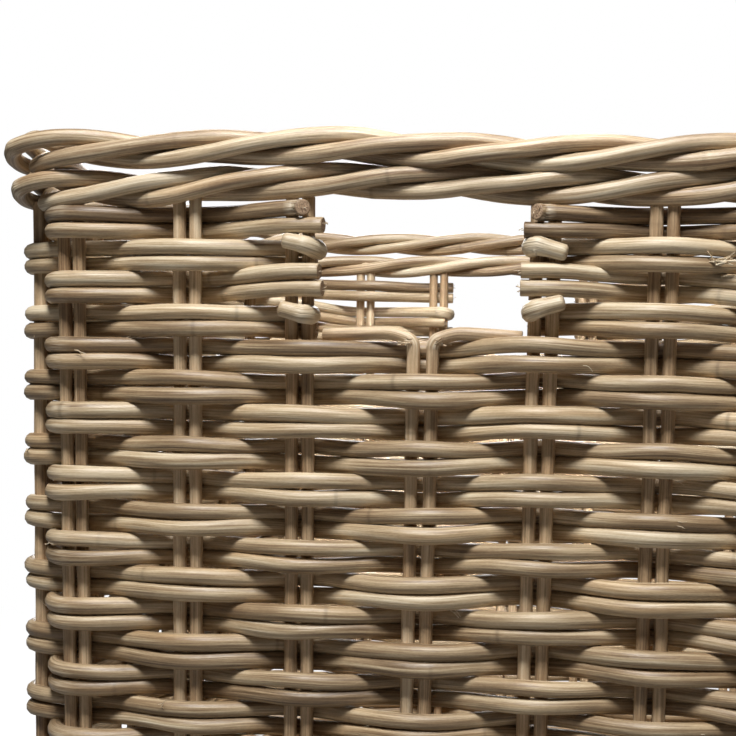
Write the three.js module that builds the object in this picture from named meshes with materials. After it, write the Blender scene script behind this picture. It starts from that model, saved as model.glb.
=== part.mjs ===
// A square shelf basket woven from round rattan cane, open at the top, with a hand hole in the
// front and back walls. The origin is the middle of the footprint, +Z is up, the front faces -Y.
import * as THREE from 'three';

// Driving dimensions, in millimetres unless the comment says otherwise

const rimWidth = 326; // outside of the border, left to right
const rimDepth = 346; // outside of the border, front to back
const wallFlare = 6; // each wall stands out by this much more at the rim than at the base
const frontPairs = 7; // pairs of stakes in the front wall, an odd number
const sidePairs = 7; // pairs of stakes in each side wall
const rowCount = 23; // rows of doubled cane in a wall
const holeRows = 4; // rows that a hand hole interrupts
const stakeDiameter = 5; // upright canes, and the canes of the base
const stakeGap = 0.6; // between the two canes of a pair
const stakeBend = 3; // where a stake turns from the wall into the base
const weaverDiameter = 5.8; // canes of the wall rows
const rowWeb = 1; // thickness of the web that joins the two canes of a row where they touch
const rowGap = 0.5; // between one row and the next
const basePasses = 3; // runs of cane in each bay of the base, an odd number
const strandDiameter = 6; // canes of the two border rolls
const strandsPerRoll = 3;
const rollTurns = 9; // full turns that the strands of a roll make on their way round the basket
const borderOverhang = 1.5; // the lower roll stands out this far over the middle of the wall
const rollLean = 14; // degrees that the upper roll leans out over the lower one
const cornerRoom = 5; // spare room where the rows turn a corner
const cutEndReach = 6.5; // a cut row end shows this far past the middle of its pair
const turnShoulder = 0.8; // height of a base cane's turn, as a share of its distance from the stake
const clearance = 0.3; // between canes that touch
const strandClearance = 0.6; // between strands, which draw closer on the round corners

// Sides of the faceted canes
const stakeSides = 6;
const strandSides = 6;

// Sizes that follow

const up = new THREE.Vector3(0, 0, 1);
const right = new THREE.Vector3(1, 0, 0);
const back = new THREE.Vector3(0, 1, 0);

const pairOffset = (stakeDiameter + stakeGap) / 2;
const weaverRadius = weaverDiameter / 2;
const weaverToStake = weaverRadius + stakeDiameter / 2 + clearance;
const stakeToStake = stakeDiameter + clearance;

// The strands of a roll lie on a circle, one at each corner of a polygon. Between two stations the
// strands run straight and draw closer together, by the cosine of half the turn. The two rolls twist
// in step, so a strand of the upper roll comes down beside one of the lower roll, not onto it.
const pairTotal = 2 * (frontPairs + sidePairs);
const stationsPerPair = 2;
const strandSpread = Math.PI * 2 / strandsPerRoll; // from one strand of a roll to the next
const strandTurn = Math.PI * 2 * rollTurns / pairTotal; // turn from one pair of stakes to the next
const strandPitch = strandDiameter + strandClearance;
const strandSpacing = strandPitch / Math.cos(strandTurn / stationsPerPair / 2);
const strandCircle = strandSpacing / (2 * Math.sin(strandSpread / 2));
const rollRadius = strandCircle + strandDiameter / 2;
const rollDistance = strandSpacing + strandPitch;
const rollShift = rollDistance * Math.sin(THREE.MathUtils.degToRad(rollLean));
const rollStep = rollDistance * Math.cos(THREE.MathUtils.degToRad(rollLean));

// Half sizes of the basket measured to the middle of its walls
const borderReach = borderOverhang + rollShift + rollRadius;
const halfWidthAtBase = rimWidth / 2 - borderReach - wallFlare;
const halfDepthAtBase = rimDepth / 2 - borderReach - wallFlare;

// A woven cane peaks over each pair and runs straight to the next. Its peak stands off the middle of
// the pair far enough for the straight run to clear both canes of the pair.
function peakOver(distance, spacing) {
  let peak = distance;
  for (let pass = 0; pass < 30; pass++) {
    const slope = 2 * peak / spacing;
    peak = distance * Math.hypot(1, slope) + slope * pairOffset;
  }
  return peak;
}

// The first pair of a wall stands in from the corner, so that a row passes between it and the first
// pair of the next wall. That room and the peak of the rows settle each other.
function settleCorner() {
  const corner = { peak: weaverToStake };
  for (let pass = 0; pass < 30; pass++) {
    corner.inset = corner.peak + pairOffset + weaverToStake + cornerRoom;
    corner.frontSpacing = 2 * (halfWidthAtBase - corner.inset) / (frontPairs - 1);
    corner.sideSpacing = 2 * (halfDepthAtBase - corner.inset) / (sidePairs - 1);
    corner.peak = peakOver(weaverToStake, Math.min(corner.frontSpacing, corner.sideSpacing));
  }
  return corner;
}

const { peak: rowPeak, inset: cornerInset, frontSpacing } = settleCorner();
const basePeak = peakOver(stakeToStake, frontSpacing);
const baseSlope = 2 * basePeak / frontSpacing;

// Heights
const stakeFlat = stakeDiameter / 2 * Math.cos(Math.PI / stakeSides);
const baseLevel = clearance + stakeFlat * Math.hypot(1, baseSlope) + basePeak; // front-to-back stakes
const firstRowBottom = baseLevel + stakeDiameter / 2 + clearance;
const rowPitch = 2 * weaverDiameter + rowGap;
const rowsTop = firstRowBottom + rowCount * rowPitch - rowGap;
const stakeTop = rowsTop + clearance;
const lowerRollHeight = stakeTop + clearance + rollRadius;
const upperRollHeight = lowerRollHeight + rollStep;
const holeBottom = firstRowBottom + (rowCount - holeRows) * rowPitch - rowGap;
const ledgeHeight = holeBottom + clearance + stakeDiameter / 2;

// A row that turns back at a hand hole goes round the side of its pair
const hookReach = pairOffset + weaverToStake;

const middlePair = (frontPairs - 1) / 2;
const backMiddlePair = frontPairs + sidePairs + middlePair;

// Materials

function caneMaterial(color, roughness) {
  return new THREE.MeshStandardMaterial({ color, roughness, metalness: 0 });
}

const rowMaterial = () => caneMaterial(0x94826d, 0.62);
const stakeMaterial = () => caneMaterial(0x7d6c5a, 0.66);
const borderMaterial = () => caneMaterial(0x9a8873, 0.6);

// Canes

const sidewaysRun = 0.9; // a run goes sideways where the cosine of its angle to sideways is over this

// The middle line of a cane: straight runs between the points, mitred where they meet. A ring's two
// ends face each other, so they are mitred to each other too.
class CanePath extends THREE.Curve {
  constructor(points, sideways, isRing = false) {
    super();
    this.points = points;
    this.sideways = sideways;
    this.isRing = isRing;
  }

  getPoint(share) {
    return this.points[Math.round(share * (this.points.length - 1))].clone();
  }

  getPointAt(share) {
    return this.getPoint(share);
  }

  run(index) {
    const runs = this.points.length - 1;
    const found = this.isRing ? (index + runs) % runs : THREE.MathUtils.clamp(index, 0, runs - 1);
    return this.points[found + 1].clone().sub(this.points[found]).normalize();
  }

  // The section's first axis on a run faces sideways, so that its flats lie level. Where the run
  // itself goes sideways, the axis is carried on from the run before.
  squareTo(run, carried) {
    const along = this.sideways.dot(run);
    if (Math.abs(along) > sidewaysRun) {
      return carried;
    }
    const level = this.sideways.clone().addScaledVector(run, -along).normalize();
    return level.dot(carried) < 0 ? level.negate() : level;
  }

  computeFrenetFrames() {
    const frames = { tangents: [], normals: [], binormals: [] };
    const startsSideways = Math.abs(this.sideways.dot(this.run(-1))) > sidewaysRun;
    let normal = this.squareTo(this.run(-1), startsSideways ? up : this.sideways);
    for (let index = 0; index < this.points.length; index++) {
      const before = this.run(index - 1);
      const after = this.run(index);
      const mitre = before.clone().add(after).normalize();
      const onMitre = (side) => side.clone().addScaledVector(before, -side.dot(mitre) / before.dot(mitre));
      frames.tangents.push(mitre);
      frames.normals.push(onMitre(normal));
      frames.binormals.push(onMitre(before.clone().cross(normal)));
      const turn = new THREE.Quaternion().setFromUnitVectors(before, after);
      normal = this.squareTo(after, normal.clone().applyQuaternion(turn));
    }
    return frames;
  }
}

function roundSection(diameter, sides) {
  const corners = [];
  for (let side = 0; side < sides; side++) {
    const angle = side / sides * Math.PI * 2;
    corners.push(new THREE.Vector2(Math.cos(angle), Math.sin(angle)).multiplyScalar(diameter / 2));
  }
  return new THREE.Shape(corners);
}

// Two canes, one above the other, seen from their end: each is a square that stands on its corner, and
// a web joins the corners where the canes touch
function rowSection() {
  return new THREE.Shape([
    new THREE.Vector2(-weaverDiameter, 0),
    new THREE.Vector2(-weaverRadius, -weaverRadius),
    new THREE.Vector2(0, -rowWeb / 2),
    new THREE.Vector2(weaverRadius, -weaverRadius),
    new THREE.Vector2(weaverDiameter, 0),
    new THREE.Vector2(weaverRadius, weaverRadius),
    new THREE.Vector2(0, rowWeb / 2),
    new THREE.Vector2(-weaverRadius, weaverRadius),
  ]);
}

const stakeSection = roundSection(stakeDiameter, stakeSides);
const strandSection = roundSection(strandDiameter, strandSides);
const doubledSection = rowSection();

const basket = new THREE.Group();

function addCane(name, section, path, material) {
  const geometry = new THREE.ExtrudeGeometry(section, { extrudePath: path, steps: path.points.length - 1 });
  const cane = new THREE.Mesh(geometry, material);
  cane.name = name;
  basket.add(cane);
}

// Walls, taken round the basket from the front, to the right, the back and the left

const quarterTurns = [0, 1, 2, 3];
const walls = quarterTurns.map((turns) => {
  const angle = turns * Math.PI / 2;
  const facesFrontOrBack = turns % 2 === 0;
  return {
    along: new THREE.Vector3(Math.cos(angle), Math.sin(angle), 0),
    outward: new THREE.Vector3(Math.sin(angle), -Math.cos(angle), 0),
    pairs: facesFrontOrBack ? frontPairs : sidePairs,
    halfLengthAtBase: facesFrontOrBack ? halfWidthAtBase : halfDepthAtBase,
    distanceAtBase: facesFrontOrBack ? halfDepthAtBase : halfWidthAtBase,
  };
});

function flareAt(height) {
  return wallFlare * (height - baseLevel) / (stakeTop - baseLevel);
}

// A point of a wall: so far along it from its middle, so far out from the middle of its stakes
function wallPoint(wall, along, out, height) {
  const distance = wall.distanceAtBase + flareAt(height) + out;
  return wall.along.clone().multiplyScalar(along).addScaledVector(wall.outward, distance).setZ(height);
}

function pairAlong(wall, pair, height) {
  const reach = wall.halfLengthAtBase + flareAt(height) - cornerInset;
  return reach * (2 * pair / (wall.pairs - 1) - 1);
}

// Pairs are numbered on from wall to wall, and the count goes on past a full round
function findPair(number) {
  let pair = number % pairTotal;
  let wallIndex = 0;
  while (pair >= walls[wallIndex].pairs) {
    pair -= walls[wallIndex].pairs;
    wallIndex++;
  }
  return { wall: walls[wallIndex], pair, isLast: pair === walls[wallIndex].pairs - 1 };
}

// Wall rows

function rowHeight(row) {
  return firstRowBottom + weaverDiameter + row * rowPitch;
}

// The top row goes in front of the even pairs, the one below it in front of the odd pairs, and so on
function outsideOf(row, number) {
  return (rowCount - 1 - row + number) % 2 === 0 ? rowPeak : -rowPeak;
}

function rowPoints(row, firstPair, lastPair) {
  const height = rowHeight(row);
  const points = [];
  for (let number = firstPair; number <= lastPair; number++) {
    const { wall, pair, isLast } = findPair(number);
    const out = outsideOf(row, number);
    points.push(wallPoint(wall, pairAlong(wall, pair, height), out, height));
    if (isLast && number < lastPair) {
      const alongToNextWall = wall.halfLengthAtBase + flareAt(height) - out;
      points.push(wallPoint(wall, alongToNextWall, out, height));
    }
  }
  return points;
}

// A whole row goes round the basket. Its ends meet behind a pair of the back wall.
function addWholeRow(row) {
  const start = outsideOf(row, backMiddlePair) < 0 ? backMiddlePair : backMiddlePair + 1;
  const points = rowPoints(row, start, start + pairTotal);
  const backAlong = walls[2].along;
  points[0].addScaledVector(backAlong, clearance / 2);
  points[points.length - 1].addScaledVector(backAlong, -clearance / 2);
  addCane(`row_${row + 1}`, doubledSection, new CanePath(points, up.clone().negate(), true), rowMaterial());
}

// Beside a hand hole a row in front of its pair is cut off, and a row behind it hooks round it.
// The points go on from the pair towards the hole.
function rowEnd(row, number, towardsHole) {
  const height = rowHeight(row);
  const { wall, pair } = findPair(number);
  const middle = pairAlong(wall, pair, height);
  if (outsideOf(row, number) > 0) {
    return [wallPoint(wall, middle + towardsHole * cutEndReach, rowPeak, height)];
  }
  return [
    wallPoint(wall, middle + towardsHole * hookReach, -rowPeak, height),
    wallPoint(wall, middle + towardsHole * hookReach, rowPeak, height),
    wallPoint(wall, middle - towardsHole * pairOffset, rowPeak, height),
  ];
}

function addHalfRow(row, side, firstPair, lastPair) {
  const points = [
    ...rowEnd(row, firstPair, -1).reverse(),
    ...rowPoints(row, firstPair, lastPair),
    ...rowEnd(row, lastPair, 1),
  ];
  addCane(`row_${row + 1}_${side}`, doubledSection, new CanePath(points, up.clone().negate()), rowMaterial());
}

function addRows() {
  for (let row = 0; row < rowCount; row++) {
    if (row < rowCount - holeRows) {
      addWholeRow(row);
    } else {
      addHalfRow(row, 'right', middlePair + 1, backMiddlePair - 1);
      addHalfRow(row, 'left', backMiddlePair + 1, pairTotal + middlePair - 1);
    }
  }
}

// Stakes

// One cane of a stake, going down from its top to its bend and into the base
function stakeDown(wall, pair, shift, top, bottom) {
  const alongAtBase = pairAlong(wall, pair, baseLevel) + shift;
  return [
    wallPoint(wall, pairAlong(wall, pair, top) + shift, 0, top),
    wallPoint(wall, alongAtBase, 0, bottom + stakeBend),
    wallPoint(wall, alongAtBase, -stakeBend, bottom),
  ];
}

function mirrorPoints(points, axis) {
  return points.map((point) => point.clone().setComponent(axis, -point.getComponent(axis))).reverse();
}

// A stake that crosses the base front to back is one long cane bent double at the top of the back
// wall, so that it makes both canes of its pair
function addFrontToBackStake(pair) {
  const strokes = [1, -1].map((side) => {
    const shift = side * pairOffset;
    const front = stakeDown(walls[0], pair, shift, stakeTop, baseLevel);
    const points = [...front, ...mirrorPoints(front, 1)];
    points[points.length - 1] = wallPoint(
      walls[0], pairAlong(walls[0], pair, stakeTop) + shift, 0, stakeTop - stakeDiameter / 2);
    points[points.length - 1].y *= -1;
    return points;
  });
  const points = [...strokes[0], ...strokes[1].reverse()];
  addCane(`front_to_back_stake_${pair + 1}`, stakeSection, new CanePath(points, right), stakeMaterial());
}

// The middle pair stops at the hand holes. Its canes bend apart there and lie on the row below.
function addMiddleStake(name, side) {
  const spacing = pairAlong(walls[0], middlePair + 1, ledgeHeight);
  const ledgeEnd = spacing - hookReach - weaverRadius - clearance;
  const front = [
    wallPoint(walls[0], side * ledgeEnd, 0, ledgeHeight),
    wallPoint(walls[0], side * (pairOffset + stakeBend), 0, ledgeHeight),
    ...stakeDown(walls[0], middlePair, side * pairOffset, ledgeHeight - stakeBend, baseLevel),
  ];
  addCane(name, stakeSection, new CanePath([...front, ...mirrorPoints(front, 1)], right), stakeMaterial());
}

// A stake that crosses the base left to right goes under the first front-to-back stake and over the
// next. It lies flat under the first one, and the basket stands on these flats.
function addLeftToRightStake(pair) {
  const left = walls[3];
  const wallPair = sidePairs - 1 - pair;
  const strokes = [1, -1].map((side) => {
    const shift = -side * pairOffset;
    const y = -(pairAlong(left, wallPair, baseLevel) + shift);
    const crossings = [];
    for (let crossed = 0; crossed < frontPairs; crossed++) {
      const isFoot = crossed === 0 || crossed === frontPairs - 1;
      const height = baseLevel + (crossed % 2 === 0 ? -basePeak : basePeak);
      const x = pairAlong(walls[0], crossed, baseLevel);
      crossings.push(new THREE.Vector3(x, y, isFoot ? stakeFlat : height));
    }
    const down = stakeDown(left, wallPair, shift, stakeTop, stakeFlat);
    const points = [...down, ...crossings, ...mirrorPoints(down, 0)];
    points[points.length - 1] = wallPoint(
      left, pairAlong(left, wallPair, stakeTop) + shift, 0, stakeTop - stakeDiameter / 2);
    points[points.length - 1].x *= -1;
    return points;
  });
  const points = [...strokes[0], ...strokes[1].reverse()];
  addCane(`left_to_right_stake_${pair + 1}`, stakeSection, new CanePath(points, back), stakeMaterial());
}

// Base

// One cane winds to and fro between two left-to-right stakes, over and under the front-to-back ones,
// and turns round the last of them
function addBaseCane(bay) {
  const side = walls[1];
  const bayStart = pairAlong(side, bay, baseLevel);
  const bayWidth = pairAlong(side, bay + 1, baseLevel) - bayStart;
  const points = [];
  for (let pass = 0; pass < basePasses; pass++) {
    const y = bayStart + bayWidth * (pass + 1) / (basePasses + 1);
    const direction = pass % 2 === 0 ? 1 : -1;
    for (let crossed = 0; crossed < frontPairs; crossed++) {
      const pair = direction > 0 ? crossed : frontPairs - 1 - crossed;
      const peak = (pair + pass) % 2 === 0 ? basePeak : -basePeak;
      points.push(new THREE.Vector3(pairAlong(walls[0], pair, baseLevel), y, baseLevel + peak));
    }
    if (pass < basePasses - 1) {
      const turn = pairAlong(walls[0], frontPairs - 1, baseLevel) + pairOffset + stakeToStake;
      const yTurn = y + bayWidth / (basePasses + 1) / 2;
      const rise = Math.sign(points[points.length - 1].z - baseLevel) * turnShoulder * stakeToStake;
      points.push(new THREE.Vector3(direction * turn, yTurn, baseLevel + rise));
      points.push(new THREE.Vector3(direction * turn, yTurn, baseLevel - rise));
    }
  }
  const endReach = new THREE.Vector3(pairOffset, 0, 0);
  points.unshift(points[0].clone().sub(endReach));
  points.push(points[points.length - 1].clone().add(endReach));
  addCane(`base_cane_${bay + 1}`, stakeSection, new CanePath(points, back), stakeMaterial());
}

// Border

// Middle line of a border roll at a station, with the direction that faces out of the basket there.
// A station is a pair's number, and the halves between lie midway or on the round corner.
function rollStation(station, overhang, height) {
  const number = Math.floor(station);
  const share = station - number;
  const { wall, pair, isLast } = findPair(number);
  const along = pairAlong(wall, pair, stakeTop);
  if (isLast) {
    const angle = share * Math.PI / 2;
    const outward = wall.outward.clone().multiplyScalar(Math.cos(angle));
    outward.addScaledVector(wall.along, Math.sin(angle));
    const centre = wallPoint(wall, along, -cornerInset, stakeTop).setZ(height);
    return { outward, middle: centre.addScaledVector(outward, cornerInset + overhang) };
  }
  const step = pairAlong(wall, pair + 1, stakeTop) - along;
  const middle = wallPoint(wall, along + share * step, overhang, stakeTop).setZ(height);
  return { outward: wall.outward.clone(), middle };
}

// A strand climbs over the outside of its roll from left to right. The first one of each roll starts
// its climb at the middle pair of the front wall. The ends of a strand meet on the inside of the back
// wall.
function addStrand(roll, strand, overhang, height) {
  const angleAt = (station) => (station - middlePair) * strandTurn + strand * strandSpread - Math.PI / 2;
  const insideShare = -Math.cos(strandTurn / stationsPerPair / 2);
  let start = frontPairs + sidePairs + 1;
  while (Math.cos(angleAt(start)) > insideShare) {
    start += 1 / stationsPerPair;
  }
  const points = [];
  for (let step = 0; step <= pairTotal * stationsPerPair; step++) {
    const station = start + step / stationsPerPair;
    const { middle, outward } = rollStation(station, overhang, height);
    const angle = angleAt(station);
    middle.addScaledVector(outward, strandCircle * Math.cos(angle));
    middle.addScaledVector(up, strandCircle * Math.sin(angle));
    points.push(middle);
  }
  const backAlong = walls[2].along;
  points[0].addScaledVector(backAlong, clearance / 2);
  points[points.length - 1].addScaledVector(backAlong, -clearance / 2);
  const path = new CanePath(points, up, true);
  addCane(`${roll}_border_strand_${strand + 1}`, strandSection, path, borderMaterial());
}

addRows();
for (let pair = 0; pair < frontPairs; pair++) {
  if (pair !== middlePair) {
    addFrontToBackStake(pair);
  }
}
addMiddleStake('middle_stake_left', -1);
addMiddleStake('middle_stake_right', 1);
for (let pair = 0; pair < sidePairs; pair++) {
  addLeftToRightStake(pair);
}
for (let bay = 0; bay < sidePairs - 1; bay++) {
  addBaseCane(bay);
}
for (let strand = 0; strand < strandsPerRoll; strand++) {
  addStrand('lower', strand, borderOverhang, lowerRollHeight);
  addStrand('upper', strand, borderOverhang + rollShift, upperRollHeight);
}

export default basket;
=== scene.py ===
"""Rattan shelf basket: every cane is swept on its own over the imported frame, with procedural finishes."""

import math
import zlib

import bpy
import numpy as np
from mathutils import Matrix, Vector


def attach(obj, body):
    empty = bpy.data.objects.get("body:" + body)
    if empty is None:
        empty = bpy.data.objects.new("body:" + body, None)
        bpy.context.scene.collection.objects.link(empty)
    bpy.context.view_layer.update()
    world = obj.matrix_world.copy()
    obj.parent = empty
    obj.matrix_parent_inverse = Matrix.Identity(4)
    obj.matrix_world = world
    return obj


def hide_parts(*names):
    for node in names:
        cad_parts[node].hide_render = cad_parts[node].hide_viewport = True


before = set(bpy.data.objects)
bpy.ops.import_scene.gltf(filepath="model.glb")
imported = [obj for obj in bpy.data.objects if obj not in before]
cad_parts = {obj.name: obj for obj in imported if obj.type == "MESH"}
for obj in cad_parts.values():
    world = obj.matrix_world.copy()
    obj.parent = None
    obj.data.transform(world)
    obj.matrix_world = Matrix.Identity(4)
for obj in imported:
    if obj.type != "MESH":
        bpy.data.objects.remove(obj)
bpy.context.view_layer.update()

MM = 0.001

# The frame's own sizes, in millimetres
HALF_X, HALF_Y = 144.725, 154.725  # to the middle of the walls, at the base
FLARE = 6.0
BASE_LEVEL = 8.982
STAKE_TOP = 289.882
CORNER_INSET = 20.452
PAIRS = 7  # pairs of stakes in each wall
PAIR_TOTAL = 4 * PAIRS
MIDDLE_PAIR = (PAIRS - 1) // 2
PAIR_OFFSET = 2.8
ROW_COUNT, HOLE_ROWS = 23, 4
FIRST_ROW, ROW_PITCH = 17.582, 12.1
BASE_PEAK = 6.416
BASE_PASSES = 3
LEDGE_HEIGHT = 243.982
ROLLS = {"lower": (1.5, 297.9), "upper": (4.7, 310.7)}  # overhang and height of a roll's middle
STRANDS, ROLL_TURNS = 3, 9
STRAND_CIRCLE = 3.75

# The round canes
STAKE_RADIUS = 2.5
WEAVER_RADIUS = 3.04
STRAND_RADIUS = 3.22
ROW_PEAK = 5.72  # a weaver's middle line over a pair
ROW_HALF = 2.98  # half the distance between the two canes of a row
ROW_ARCH = 0.22  # the two canes of a row spread this much over a pair
WEAVE_PEAK = 5.3  # a base cane's middle line over a stake

SPAN_POINTS = 28  # points of a row's middle line from pair to pair, and round a corner


def seeded(name):
    """A random generator that depends on the name only."""
    return np.random.default_rng(zlib.crc32(name.encode()))


LENGTH_SPREAD = 0.75, 1.3  # of waves, as shares


def wander(rng, s, lengths, size):
    """A smooth random function of the distance s, with waves of about these lengths."""
    total = np.zeros_like(s)
    for length in lengths:
        total += np.sin(2 * np.pi * (s / (length * rng.uniform(*LENGTH_SPREAD)) + rng.uniform(0, 1)))
    return size * total / math.sqrt(len(lengths))


def smooth_table(x, xs, ys):
    """Values between those of a table, level at each of its points."""
    x = np.clip(np.asarray(x, float), xs[0], xs[-1])
    xs, ys = np.asarray(xs, float), np.asarray(ys, float)
    k = np.clip(np.searchsorted(xs, x) - 1, 0, len(xs) - 2)
    t = (x - xs[k]) / (xs[k + 1] - xs[k])
    return ys[k] + (ys[k + 1] - ys[k]) * t * t * (3 - 2 * t)


# Walls, taken round the basket

FRONT, RIGHT, BACK, LEFT = range(4)
WALLS = []
for turns in range(4):
    angle = turns * math.pi / 2
    reach, distance = (HALF_X, HALF_Y) if turns % 2 == 0 else (HALF_Y, HALF_X)
    WALLS.append(
        {
            "along": np.round([math.cos(angle), math.sin(angle), 0.0]),
            "outward": np.round([math.sin(angle), -math.cos(angle), 0.0]),
            "reach": reach,
            "distance": distance,
        }
    )


def flare_at(z):
    return FLARE * (z - BASE_LEVEL) / (STAKE_TOP - BASE_LEVEL)


def wall_points(wall, along, out, z):
    along, out, z = np.broadcast_arrays(*(np.asarray(v, float) for v in (along, out, z)))
    w = WALLS[wall]
    points = along[..., None] * w["along"] + (w["distance"] + flare_at(z) + out)[..., None] * w["outward"]
    points[..., 2] = z
    return points


def even_along(wall, pair, z):
    """Where a pair stands along its wall at that height when all are evenly spaced."""
    reach = WALLS[wall]["reach"] + flare_at(z) - CORNER_INSET
    return reach * (2 * pair / (PAIRS - 1) - 1)


# The pairs of the front wall stand this much off their even spacing, at their tops
FRONT_SHIFT = [0.0, -0.9, -1.4, 1.9, 2.0, 0.6, 0.0]
FIRST_STAKES_SHIFT = -2.8  # and the stakes of the first pair stand this much off their own rows'


def pair_along(wall, pair, z):
    shift = FRONT_SHIFT[pair] if wall == FRONT else 0.0
    return even_along(wall, pair, z) + shift * (z - BASE_LEVEL) / (STAKE_TOP - BASE_LEVEL)


def find_pair(number):
    """The wall and the place in it of a pair that is counted on right round the basket."""
    number %= PAIR_TOTAL
    return number // PAIRS, number % PAIRS


def side_of(row, number):
    """1 where the row passes outside that pair, and -1 where it passes inside."""
    return 1 if (ROW_COUNT - 1 - row + number) % 2 == 0 else -1


# How far the rows rise beside the front hand hole, to its left and right, and sink in the back wall
HOLE_RISE = {22: (1.9, 0.4), 21: (0.3, 1.3), 20: (3.3, 4.0), 19: (0.6, 2.6)}
BACK_SINK = {22: 2.2, 21: 5.0, 20: 4.0, 19: 3.0, 18: 2.0, 17: 1.0}
RIGHT_RISE = 1.7  # the whole rows rise by this much in the right half of the front wall
LOWEST_RISING_ROW, FULLY_RISING_ROW = 3, 9
BACK_SINK_ALONG = [-135, -90, 90, 135]  # places along the back wall: fully sunk between the inner ones
HOLE_RISE_ALONG = [-130, -86, -43, -3, 3, 43, 86, 130]  # and along the front wall
OUTER_LEFT_RISE, OUTER_RIGHT_RISE = 0.3, 0.75  # share of the rise two pairs away from the middle


def rise_at(row, wall, along):
    """How far a row stands above its place in the frame there."""
    if wall == BACK:
        return -BACK_SINK.get(row, 0.0) * smooth_table(along, BACK_SINK_ALONG, [0, 1, 1, 0])
    if wall != FRONT:
        return np.zeros_like(np.asarray(along, float))
    risen = (row - LOWEST_RISING_ROW) / (FULLY_RISING_ROW - LOWEST_RISING_ROW)
    left, right = HOLE_RISE.get(row, (0.0, RIGHT_RISE * float(np.clip(risen, 0, 1))))
    rises = [0, OUTER_LEFT_RISE * left, left, left, 0, right, OUTER_RIGHT_RISE * right, 0]
    return smooth_table(along, HOLE_RISE_ALONG, rises)


# Middle lines

LARGEST_CUT = 0.48  # a rounded corner takes up no more than this share of the runs beside it
ROUNDING_POINTS = 9


def rounded(points, radius):
    """A line through the points with its corners rounded."""
    points = [np.asarray(p, float) for p in points]
    line = [points[0]]
    for before, corner, after in zip(points, points[1:], points[2:]):
        to_before, to_after = before - corner, after - corner
        cut = min(radius, LARGEST_CUT * np.linalg.norm(to_before), LARGEST_CUT * np.linalg.norm(to_after))
        start = corner + to_before / np.linalg.norm(to_before) * cut
        end = corner + to_after / np.linalg.norm(to_after) * cut
        for t in np.linspace(0, 1, ROUNDING_POINTS):
            line.append((1 - t) ** 2 * start + 2 * t * (1 - t) * corner + t * t * end)
    line.append(points[-1])
    return np.array(line)


def weave(stations, heights, count=14):
    """Positions and heights that swing from one station to the next."""
    at, z = [], []
    for i in range(len(stations) - 1):
        t = np.linspace(0, 1, count, endpoint=i == len(stations) - 2)
        at.append(stations[i] + (stations[i + 1] - stations[i]) * t)
        z.append(heights[i] + (heights[i + 1] - heights[i]) * (1 - np.cos(np.pi * t)) / 2)
    return np.concatenate(at), np.concatenate(z)


def bezier(p0, p1, p2, p3):
    t = np.linspace(0, 1, SPAN_POINTS, endpoint=False)[:, None]
    p0, p1, p2, p3 = (np.asarray(p, float) for p in (p0, p1, p2, p3))
    return (1 - t) ** 3 * p0 + 3 * t * (1 - t) ** 2 * p1 + 3 * t * t * (1 - t) * p2 + t**3 * p3


# How a row turns a corner: how early its curve leaves the two walls when it bends on the outside and on
# the inside, and how far the handles of the wide curve stand out
OUTSIDE_PULL, INSIDE_PULL, HANDLE_OUT = 8.2, 19, 1.2


def row_line(row, first, last, height, peak, arch):
    """One cane of a row from pair to pair. The corners turn close round the last pair of the wall."""
    line = []
    for number in range(first, last):
        wall, pair = find_pair(number)
        side = side_of(row, number)
        if pair < PAIRS - 1:
            a0, a1 = pair_along(wall, pair, height), pair_along(wall, pair + 1, height)
            t = np.linspace(0, 1, SPAN_POINTS, endpoint=False)
            swing = np.cos(np.pi * t)
            along = a0 + (a1 - a0) * t
            z = height + arch * (swing**2 - 0.5) + rise_at(row, wall, along)
            line.append(wall_points(wall, along, side * peak * swing, z))
            continue
        c, wide = CORNER_INSET, peak + HANDLE_OUT
        if side > 0:
            curve = bezier((c, -peak), (c - OUTSIDE_PULL, -peak), (wide, c - INSIDE_PULL), (peak, c))
        else:
            curve = bezier((c, peak), (c - INSIDE_PULL, wide), (-peak, c - OUTSIDE_PULL), (-peak, c))
        here, ahead = WALLS[wall], WALLS[(wall + 1) % 4]
        corner = wall_points(wall, here["reach"] + flare_at(height), 0, height)
        corner = corner - curve[:, :1] * here["along"] + curve[:, 1:] * ahead["along"]
        line.append(corner + [0, 0, arch / 2])
    wall, pair = find_pair(last)
    along = np.array([pair_along(wall, pair, height)])
    z = height + arch / 2 + rise_at(row, wall, along)
    line.append(wall_points(wall, along, side_of(row, last) * peak, z))
    return np.concatenate(line)


# Canes

SIDES = 12
AROUND = np.arange(SIDES) / SIDES * 2 * np.pi
RING_STEP = 4.0  # at most this far apart, or this turn, from ring to ring
TURN_STEP = 0.22
LEAST_STEP = 0.15
LEAST_RUN = 1e-6  # points of a line that are closer than this are one
JOINT_RINGS = np.array([-1.8, -0.9, -0.3, 0.3, 0.9, 1.8])  # rings beside the middle of a cane's joint
JOINT_ROOM = 2.2

# A cane wanders off its line in two directions, with waves of these lengths, and less near its ends
LINE_WAVES = (52, 95, 170), (60, 105, 150)
CALM_LENGTH, LEAST_WANDER = 15, 0.15

# Waves of its thickness and their share of it, and how far it is off a circle
SIZE_WAVES = ((38, 80), 0.022), ((11, 19), 0.008)
OVAL, OVAL_WAVES, OVAL_TURN = 0.022, (70, 120), 1.2
THREE_SIDED = 0.012
PHASES = 0, 6  # where round the cane these shapes may start, in radians

# Joints: where the first lies and how far on the next ones do, in gaps, and how far they keep off the end.
# A joint is a low ridge with a dark notch in its middle
JOINT_GAP, FIRST_JOINT, NEXT_JOINT, LAST_JOINT = 260.0, (0.2, 1.0), (0.6, 1.5), 4
RIDGE_WIDTH, RIDGE_HEIGHT = 1.6, (0.08, 0.2)
NOTCH_WIDTH, NOTCH_DEPTH, NOTCH_DARKNESS = 0.75, 0.08, (0.25, 0.7)

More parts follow.
